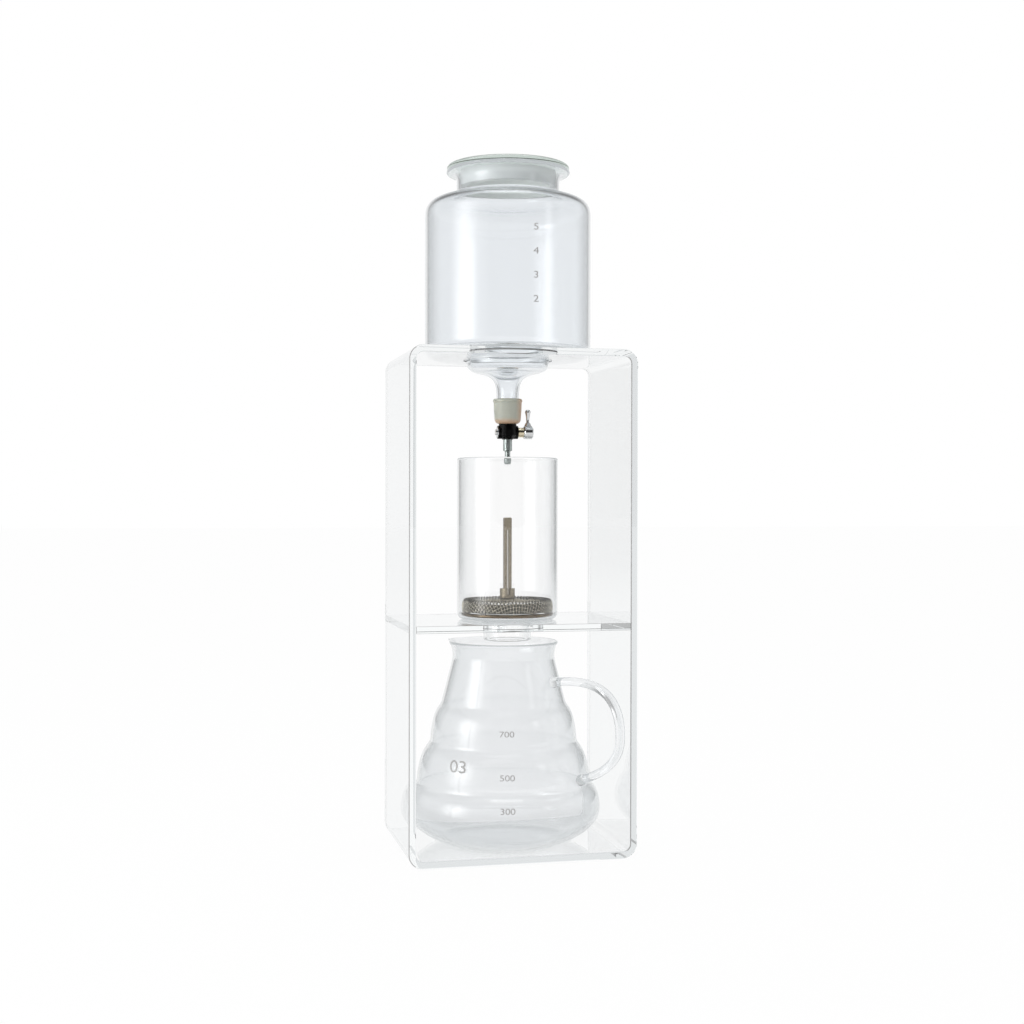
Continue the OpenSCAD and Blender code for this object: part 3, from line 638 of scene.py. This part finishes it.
# ---------------------------------------------------------------- woven filter
def cup_line():
    """The middle of the woven cup's cloth from its centre to its foot, in even steps."""
    outer = ([(5.6, 177.3), (9, 175.6), (23.5, 175.4), (26.5, 177.0)]
             + bow((28.3, 177.6), (32.55, 177.6), (32.55, 172.44))
             + bow((32.55, 172.44), (32.55, 169.08), (32.05, 168.2))[1:])
    return soften([(0, 177.37)] + skin(outer, -0.35), CLOTH_STEP, 6)


def shape_gauze():
    """The fine gauze that lines the woven cup's side."""
    side = [spot for spot in cup_line() if spot[0] > 30 and spot[1] < 175.0][::-1]
    outer = skin(side, 0.55)
    return turned("fine_gauze", outer + skin(side, 0.8)[::-1], 128, True)


def shape_disc():
    """The pressed gauze that closes the cup's dished top."""
    return turned("pressed_gauze", [(5.6, 175.15), (25.5, 174.95), (29.4, 176.5), (29.4, 176.2),
                                    (25.6, 174.65), (5.6, 174.85)], 128, True)


def unbroken(spots):
    """Splits a row of rising whole numbers wherever one is missing."""
    groups, last = [[]], None
    for m in spots:
        if last is not None and m != last + 1:
            groups.append([])
        groups[-1].append(m)
        last = m
    return groups


def wire_curve(name, wire_r, roundness):
    """A curve that draws its lines as wires."""
    curve = bpy.data.curves.new(name, "CURVE")
    curve.dimensions = "3D"
    curve.bevel_depth = wire_r * MM
    curve.bevel_resolution = roundness
    return curve


def shape_weave():
    """Plain woven wire cloth drawn down over the cup's top and side: each wire passes over one
    wire of the other set and under the next. It leaves the shoulder to the open turns."""
    line = cup_line()
    reach = CLOTH_STEP * (len(line) - 1)
    pitch, lift, wire_r = 2.3, 0.24, 0.22
    bare_from, bare_to = 26, 30.6

    def on_cup(u, v, up):
        """The place on the cup that the cloth's place u, v comes to, raised by up."""
        far = math.hypot(u, v)
        k = min(far / CLOTH_STEP, len(line) - 1.001)
        i = int(k)
        a, b = line[i], line[i + 1]
        r, z = a[0] + (b[0] - a[0]) * (k - i), a[1] + (b[1] - a[1]) * (k - i)
        long = math.dist(a, b) or 1.0
        out = (-(b[1] - a[1]) / long, (b[0] - a[0]) / long)
        r, z = r + up * out[0], z + up * out[1]
        turn = math.atan2(v, u) if far else 0.0
        return (r * math.cos(turn) * MM, r * math.sin(turn) * MM, z * MM)

    curve = wire_curve("woven_cup", wire_r, 0)
    curve.use_fill_caps = True
    half = int(reach / pitch)
    for family in (0, 1):
        for n in range(-half, half + 1):
            fixed = (n + 0.5) * pitch
            if abs(fixed) >= reach - 0.4:
                continue
            count = int(math.sqrt(reach ** 2 - fixed ** 2) / (pitch / 2))
            spots = [m for m in range(-count, count + 1)
                     if not bare_from < math.hypot(fixed, m * pitch / 2) < bare_to]
            for group in unbroken(spots):
                if len(group) < 3:
                    continue
                points = []
                for m in group:
                    along = m * pitch / 2
                    # crossings fall on odd m, where the other set's wires lie
                    wave = math.sin(math.pi * m / 2) * (1 if (n + family) % 2 else -1)
                    u, v = (along, fixed) if family == 0 else (fixed, along)
                    points.append(on_cup(u, v, lift * wave))
                spline = curve.splines.new("POLY")
                spline.points.add(len(points) - 1)
                for dot, place in zip(spline.points, points):
                    dot.co = (*place, 1)
    return curve_piece("woven_cup", curve)


def shape_coil():
    """The cup's shoulder, where the cloth's wires turn over: a wire laid round in open turns."""
    turns, steps = 78, 14
    middle_r, middle_z, half_wide, half_tall = 29.9, 176.0, 1.3, 1.2
    curve = wire_curve("shoulder_turns", 0.33, 1)
    spline = curve.splines.new("POLY")
    spline.points.add(turns * steps - 1)
    spline.use_cyclic_u = True
    for k, dot in enumerate(spline.points):
        about, over = math.tau * k / (turns * steps), math.tau * k / steps
        r = (middle_r + half_wide * math.cos(over)) * MM
        dot.co = (r * math.cos(about), r * math.sin(about),
                  (middle_z + half_tall * math.sin(over)) * MM, 1)
    return curve_piece("shoulder_turns", curve)


def curve_piece(name, curve):
    """A curve as a finished mesh piece."""
    holder = bpy.data.objects.new(name, curve)
    scene.collection.objects.link(holder)
    bpy.context.view_layer.update()
    mesh = bpy.data.meshes.new_from_object(
        holder.evaluated_get(bpy.context.evaluated_depsgraph_get()))
    bpy.data.objects.remove(holder)
    bpy.data.curves.remove(curve)
    mesh.name = name
    mesh.shade_smooth()
    piece = bpy.data.objects.new(name, mesh)
    scene.collection.objects.link(piece)
    return piece


# ---------------------------------------------------------------- printed figures
def print_on(name, marks, path, centre_x, material, body, slot):
    """Figures printed on a turned wall. A mark is its text, its height in mm, its turn from the
    front in degrees, its level and its slant."""
    cap_share, widen, proud = 0.7, 1.3, 0.05
    whole = bmesh.new()
    for text, tall, turn, level, slant in marks:
        curve = bpy.data.curves.new("figure", "FONT")
        curve.body = text
        curve.size = tall / cap_share * MM
        curve.extrude = 0.02 * MM
        curve.shear = slant
        curve.space_character = 0.95
        curve.align_x, curve.align_y = "CENTER", "CENTER"
        curve.resolution_u = 4
        holder = bpy.data.objects.new("figure", curve)
        scene.collection.objects.link(holder)
        bpy.context.view_layer.update()
        flat = bpy.data.meshes.new_from_object(
            holder.evaluated_get(bpy.context.evaluated_depsgraph_get()))
        part = bmesh.new()
        part.from_mesh(flat)
        bpy.data.objects.remove(holder)
        bpy.data.meshes.remove(flat)
        bmesh.ops.remove_doubles(part, verts=part.verts, dist=0.0005 * MM)
        for v in part.verts:
            z = level + v.co.y / MM
            r = radius_at(path, z)
            a = math.radians(turn) + widen * v.co.x / MM / r
            r = (r + proud) * MM + v.co.z
            v.co = (centre_x + r * math.sin(a), -r * math.cos(a), z * MM)
        bmesh.ops.recalc_face_normals(part, faces=part.faces)
        bent = bpy.data.meshes.new("figure")
        part.to_mesh(bent)
        part.free()
        whole.from_mesh(bent)
        bpy.data.meshes.remove(bent)
    piece = finish_piece(name, whole, 30)
    place_piece(piece, material, body, slot)


# ---------------------------------------------------------------- the pieces
stand = shape_stand()
place_piece(stand, acrylic, "stand", "clear_sheet", "stand_loop")
mark_scraped(stand, True)
shelf = shape_shelf()
place_piece(shelf, acrylic, "stand", "clear_sheet", "stand_shelf")
mark_scraped(shelf, False)
place_piece(turned("blown_bowl", wall_outline(bowl_outer(), BOWL_WALL, True), 160, True),
            bowl_glass, "bowl", "bowl_glass", "water_bowl")
place_piece(turned("moulded_bung", bung_line(), 96, True), silicone,
            "bowl", "cream_silicone", "bung")
place_piece(
    turned("drawn_chamber", wall_outline(chamber_outer(), CHAMBER_WALL, True), 144, True),
    chamber_glass, "chamber", "chamber_glass", "coffee_chamber")
place_piece(shape_jug(), jug_glass, "jug", "jug_glass", "jug_body", "jug_handle")
place_piece(shape_weave(), woven, "filter", "mesh_steel", "filter_mesh")
place_piece(shape_coil(), gauze, "filter", "mesh_steel")
place_piece(shape_gauze(), gauze, "filter", "mesh_steel")
place_piece(shape_disc(), pressed, "filter", "mesh_steel")
print_on("bowl_figures", [(t, 4.6, 6, z, 0) for t, z in
                          (("5", 432.9), ("4", 416.7), ("3", 400.4), ("2", 384.1))],
         bowl_outer(), 0, ink, "bowl", "bowl_glass")
print_on("jug_figures", [(t, 4, -10.2, z, 0) for t, z in
                         (("700", 87.7), ("500", 59.5), ("300", 38.4))]
         + [("03", 8, -44, 65.2, -0.12)], jug_outer(), JUG_X, ink, "jug", "jug_glass")


# ---------------------------------------------------------------- studio
GAP_LEVEL = 0.42  # how bright the gaps beside the backdrop are


def backdrop(tree, ahead):
    """What glass sees in a direction, by how far ahead of the camera that points: the white
    backdrop, the dim gaps at both its ends, which draw the dark edges of glass, and the walls."""
    cloth = add(tree, "ShaderNodeMapRange", {
        "Value": ahead, "From Min": 0.83, "From Max": 0.97,
        "To Min": GAP_LEVEL, "To Max": 1.0}, interpolation_type="SMOOTHSTEP")
    walls = add(tree, "ShaderNodeMapRange", {
        "Value": ahead, "From Min": 0.7, "From Max": 0.4,
        "To Min": GAP_LEVEL, "To Max": 1.0}, interpolation_type="SMOOTHSTEP")
    return add(tree, "ShaderNodeMath", {0: cloth.outputs[0], 1: walls.outputs[0]},
               operation="MAXIMUM").outputs[0]


def studio_floor():
    """A plain white floor. The eye sees mostly its own white, under a faint shadow. Glass sees
    the gaps of the backdrop on it too, but only far away, so that side views stay bright."""
    mesh = bpy.data.meshes.new("studio_floor")
    shape = bmesh.new()
    bmesh.ops.create_grid(shape, x_segments=1, y_segments=1, size=12,
                          matrix=Matrix.Translation((0, 0, -0.3 * MM)))
    shape.to_mesh(mesh)
    shape.free()
    floor = bpy.data.objects.new("studio_floor", mesh)
    scene.collection.objects.link(floor)
    material, tree = new_material("white_paper")
    place = add(tree, "ShaderNodeTexCoord")
    fibre = add(tree, "ShaderNodeTexNoise", {
        "Vector": place.outputs["Object"], "Scale": 1 / (2 * MM), "Detail": 2.0})
    tone = add(tree, "ShaderNodeMix", {
        "Factor": fibre.outputs["Fac"], 6: linear("#fbfbfb"), 7: linear("#ffffff")},
        data_type="RGBA")
    matt = add(tree, "ShaderNodeBsdfDiffuse", {"Color": tone.outputs[2]})
    white = add(tree, "ShaderNodeEmission", {"Color": (1, 1, 1, 1), "Strength": 1.0})
    path = add(tree, "ShaderNodeLightPath")
    facing = add(tree, "ShaderNodeMapping", {
        "Vector": place.outputs["Object"], "Rotation": (0, 0, FRONT_TURN)})
    axes = add(tree, "ShaderNodeSeparateXYZ", {"Vector": facing.outputs[0]})
    far = add(tree, "ShaderNodeVectorMath", {0: facing.outputs[0]}, operation="LENGTH")
    ahead = add(tree, "ShaderNodeMath", {0: axes.outputs["Y"], 1: far.outputs["Value"]},
                operation="DIVIDE")
    away = add(tree, "ShaderNodeMapRange", {
        "Value": far.outputs["Value"], "From Min": 1.6, "From Max": 5.0,
        "To Min": 0.0, "To Max": 1.0}, interpolation_type="SMOOTHSTEP")
    away = add(tree, "ShaderNodeMath", {
        0: away.outputs[0], 1: path.outputs["Is Transmission Ray"]}, operation="MULTIPLY")
    level = add(tree, "ShaderNodeMix", {
        0: away.outputs[0], 2: 1.0, 3: backdrop(tree, ahead.outputs[0])}, data_type="FLOAT")
    tree.links.new(level.outputs[0], white.inputs["Strength"])
    seen = add(tree, "ShaderNodeMath", {
        0: path.outputs["Is Camera Ray"], 1: path.outputs["Is Glossy Ray"]}, operation="MAXIMUM")
    seen = add(tree, "ShaderNodeMath", {
        0: seen.outputs[0], 1: path.outputs["Is Transmission Ray"]}, operation="MAXIMUM")
    share = add(tree, "ShaderNodeMath", {0: seen.outputs[0], 1: 0.96}, operation="MULTIPLY")
    both = add(tree, "ShaderNodeMixShader", {
        0: share.outputs[0], 1: matt.outputs[0], 2: white.outputs[0]})
    put_out(tree, both.outputs[0])
    mesh.materials.append(material)


def studio_world():
    """White for the eye. Gloss meets white walls with darker stretches between them, a dark
    room behind the camera, and a grey ceiling that is white overhead. Glass meets the backdrop
    under the same ceiling."""
    world = bpy.data.worlds.new("studio")
    scene.world = world
    world.use_nodes = True
    tree = world.node_tree
    tree.nodes.clear()
    place = add(tree, "ShaderNodeTexCoord")
    facing = add(tree, "ShaderNodeMapping", {
        "Vector": place.outputs["Generated"], "Rotation": (0, 0, FRONT_TURN)})
    axes = add(tree, "ShaderNodeSeparateXYZ", {"Vector": facing.outputs[0]})
    # |xx - yy| / (xx + yy) is 1 ahead, behind and to both sides, and 0 halfway between them
    xx = add(tree, "ShaderNodeMath", {0: axes.outputs["X"], 1: axes.outputs["X"]},
             operation="MULTIPLY")
    yy = add(tree, "ShaderNodeMath", {0: axes.outputs["Y"], 1: axes.outputs["Y"]},
             operation="MULTIPLY")
    less = add(tree, "ShaderNodeMath", {0: xx.outputs[0], 1: yy.outputs[0]}, operation="SUBTRACT")
    more = add(tree, "ShaderNodeMath", {0: xx.outputs[0], 1: yy.outputs[0]}, operation="ADD")
    lobe = add(tree, "ShaderNodeMath", {0: less.outputs[0], 1: more.outputs[0]},
               operation="DIVIDE")
    lobe = add(tree, "ShaderNodeMath", {0: lobe.outputs[0]}, operation="ABSOLUTE")
    walls = add(tree, "ShaderNodeMapRange", {
        "Value": lobe.outputs[0], "From Min": 0.15, "From Max": 0.6,
        "To Min": 0.65, "To Max": 1.0}, interpolation_type="SMOOTHSTEP")
    high = add(tree, "ShaderNodeMapRange", {
        "Value": axes.outputs["Z"], "From Min": 0.35, "From Max": 0.6,
        "To Min": 1.0, "To Max": 0.5}, interpolation_type="SMOOTHSTEP")
    top = add(tree, "ShaderNodeMapRange", {
        "Value": axes.outputs["Z"], "From Min": 0.86, "From Max": 0.93,
        "To Min": 0.0, "To Max": 0.5}, interpolation_type="SMOOTHSTEP")
    ceiling = add(tree, "ShaderNodeMath", {0: high.outputs[0], 1: top.outputs[0]},
                  operation="ADD")
    gloss = add(tree, "ShaderNodeMath", {0: walls.outputs[0], 1: ceiling.outputs[0]},
                operation="MULTIPLY")
    room_turn = math.radians(22)  # how far to the camera's right the dark room lies
    behind = add(tree, "ShaderNodeVectorMath", {
        0: facing.outputs[0], 1: (math.sin(room_turn), -math.cos(room_turn), 0)},
        operation="DOT_PRODUCT")
    room = add(tree, "ShaderNodeMapRange", {
        "Value": behind.outputs["Value"], "From Min": 0.52, "From Max": 0.72,
        "To Min": 1.0, "To Max": 0.05}, interpolation_type="SMOOTHSTEP")
    gloss = add(tree, "ShaderNodeMath", {0: gloss.outputs[0], 1: room.outputs[0]},
                operation="MULTIPLY")
    glass = add(tree, "ShaderNodeMath", {
        0: ceiling.outputs[0], 1: backdrop(tree, axes.outputs["Y"])}, operation="MULTIPLY")
    path = add(tree, "ShaderNodeLightPath")
    # matt faces get an even 0.75 from everywhere
    light = add(tree, "ShaderNodeMix", {
        0: path.outputs["Is Glossy Ray"], 2: 0.75, 3: gloss.outputs[0]}, data_type="FLOAT")
    light = add(tree, "ShaderNodeMix", {
        0: path.outputs["Is Transmission Ray"], 2: light.outputs[0], 3: glass.outputs[0]},
        data_type="FLOAT")
    light = add(tree, "ShaderNodeMix", {
        0: path.outputs["Is Camera Ray"], 2: light.outputs[0], 3: 1.0}, data_type="FLOAT")
    back = add(tree, "ShaderNodeBackground", {"Color": light.outputs[0], "Strength": 1.0})
    add(tree, "ShaderNodeOutputWorld", {"Surface": back.outputs[0]})


def softbox(name, turn, rise, away, wide, tall, level, fade):
    """A lamp turn degrees to the right of the camera's side of the tower, aimed at its middle.
    Its light fades over the outer share of its sides, as in a softbox."""
    lamp = bpy.data.lights.new(name, "AREA")
    lamp.shape = "RECTANGLE"
    lamp.size, lamp.size_y = wide, tall
    lamp.energy = level * math.pi * wide * tall
    lamp.use_nodes = True
    tree = lamp.node_tree
    tree.nodes.clear()
    spot = add(tree, "ShaderNodeNewGeometry")
    axes = add(tree, "ShaderNodeSeparateXYZ", {"Vector": spot.outputs["Parametric"]})
    level_here = None
    for axis in ("X", "Y"):
        side = add(tree, "ShaderNodeMath", {0: axes.outputs[axis], 1: 0.5}, operation="SUBTRACT")
        side = add(tree, "ShaderNodeMath", {0: side.outputs[0]}, operation="ABSOLUTE")
        share = add(tree, "ShaderNodeMapRange", {
            "Value": side.outputs[0], "From Min": 0.5 - fade, "From Max": 0.5,
            "To Min": 1.0, "To Max": 0.05}, interpolation_type="SMOOTHSTEP").outputs[0]
        level_here = share if level_here is None else add(
            tree, "ShaderNodeMath", {0: level_here, 1: share}, operation="MULTIPLY").outputs[0]
    light = add(tree, "ShaderNodeEmission", {"Strength": level_here})
    add(tree, "ShaderNodeOutputLight", {"Surface": light.outputs[0]})
    aim = Vector((0, 0, 0.24))
    flat = -VIEW * math.cos(math.radians(turn)) + VIEW_RIGHT * math.sin(math.radians(turn))
    up = math.radians(rise)
    place = aim + away * (flat * math.cos(up) + Vector((0, 0, math.sin(up))))
    box = bpy.data.objects.new(name, lamp)
    box.location = place
    box.rotation_euler = (place - aim).to_track_quat("Z", "Y").to_euler()
    box.visible_camera = False
    scene.collection.objects.link(box)


photo_camera()
studio_floor()
studio_world()
# the broad lamp that draws the wide highlight on the left of every glass piece
softbox("softbox_left", -60, 8, 1.3, 1.2, 1.3, 3.9, 0.5)
# the narrow lamp of the thin highlight on their right
softbox("softbox_right", 57, 18, 1.35, 0.42, 0.6, 1.2, 0.5)
# the lamp over the tower, for the lid and the filter's top
softbox("softbox_top", 10, 82, 1.5, 0.9, 0.9, 1.6, 0.1)
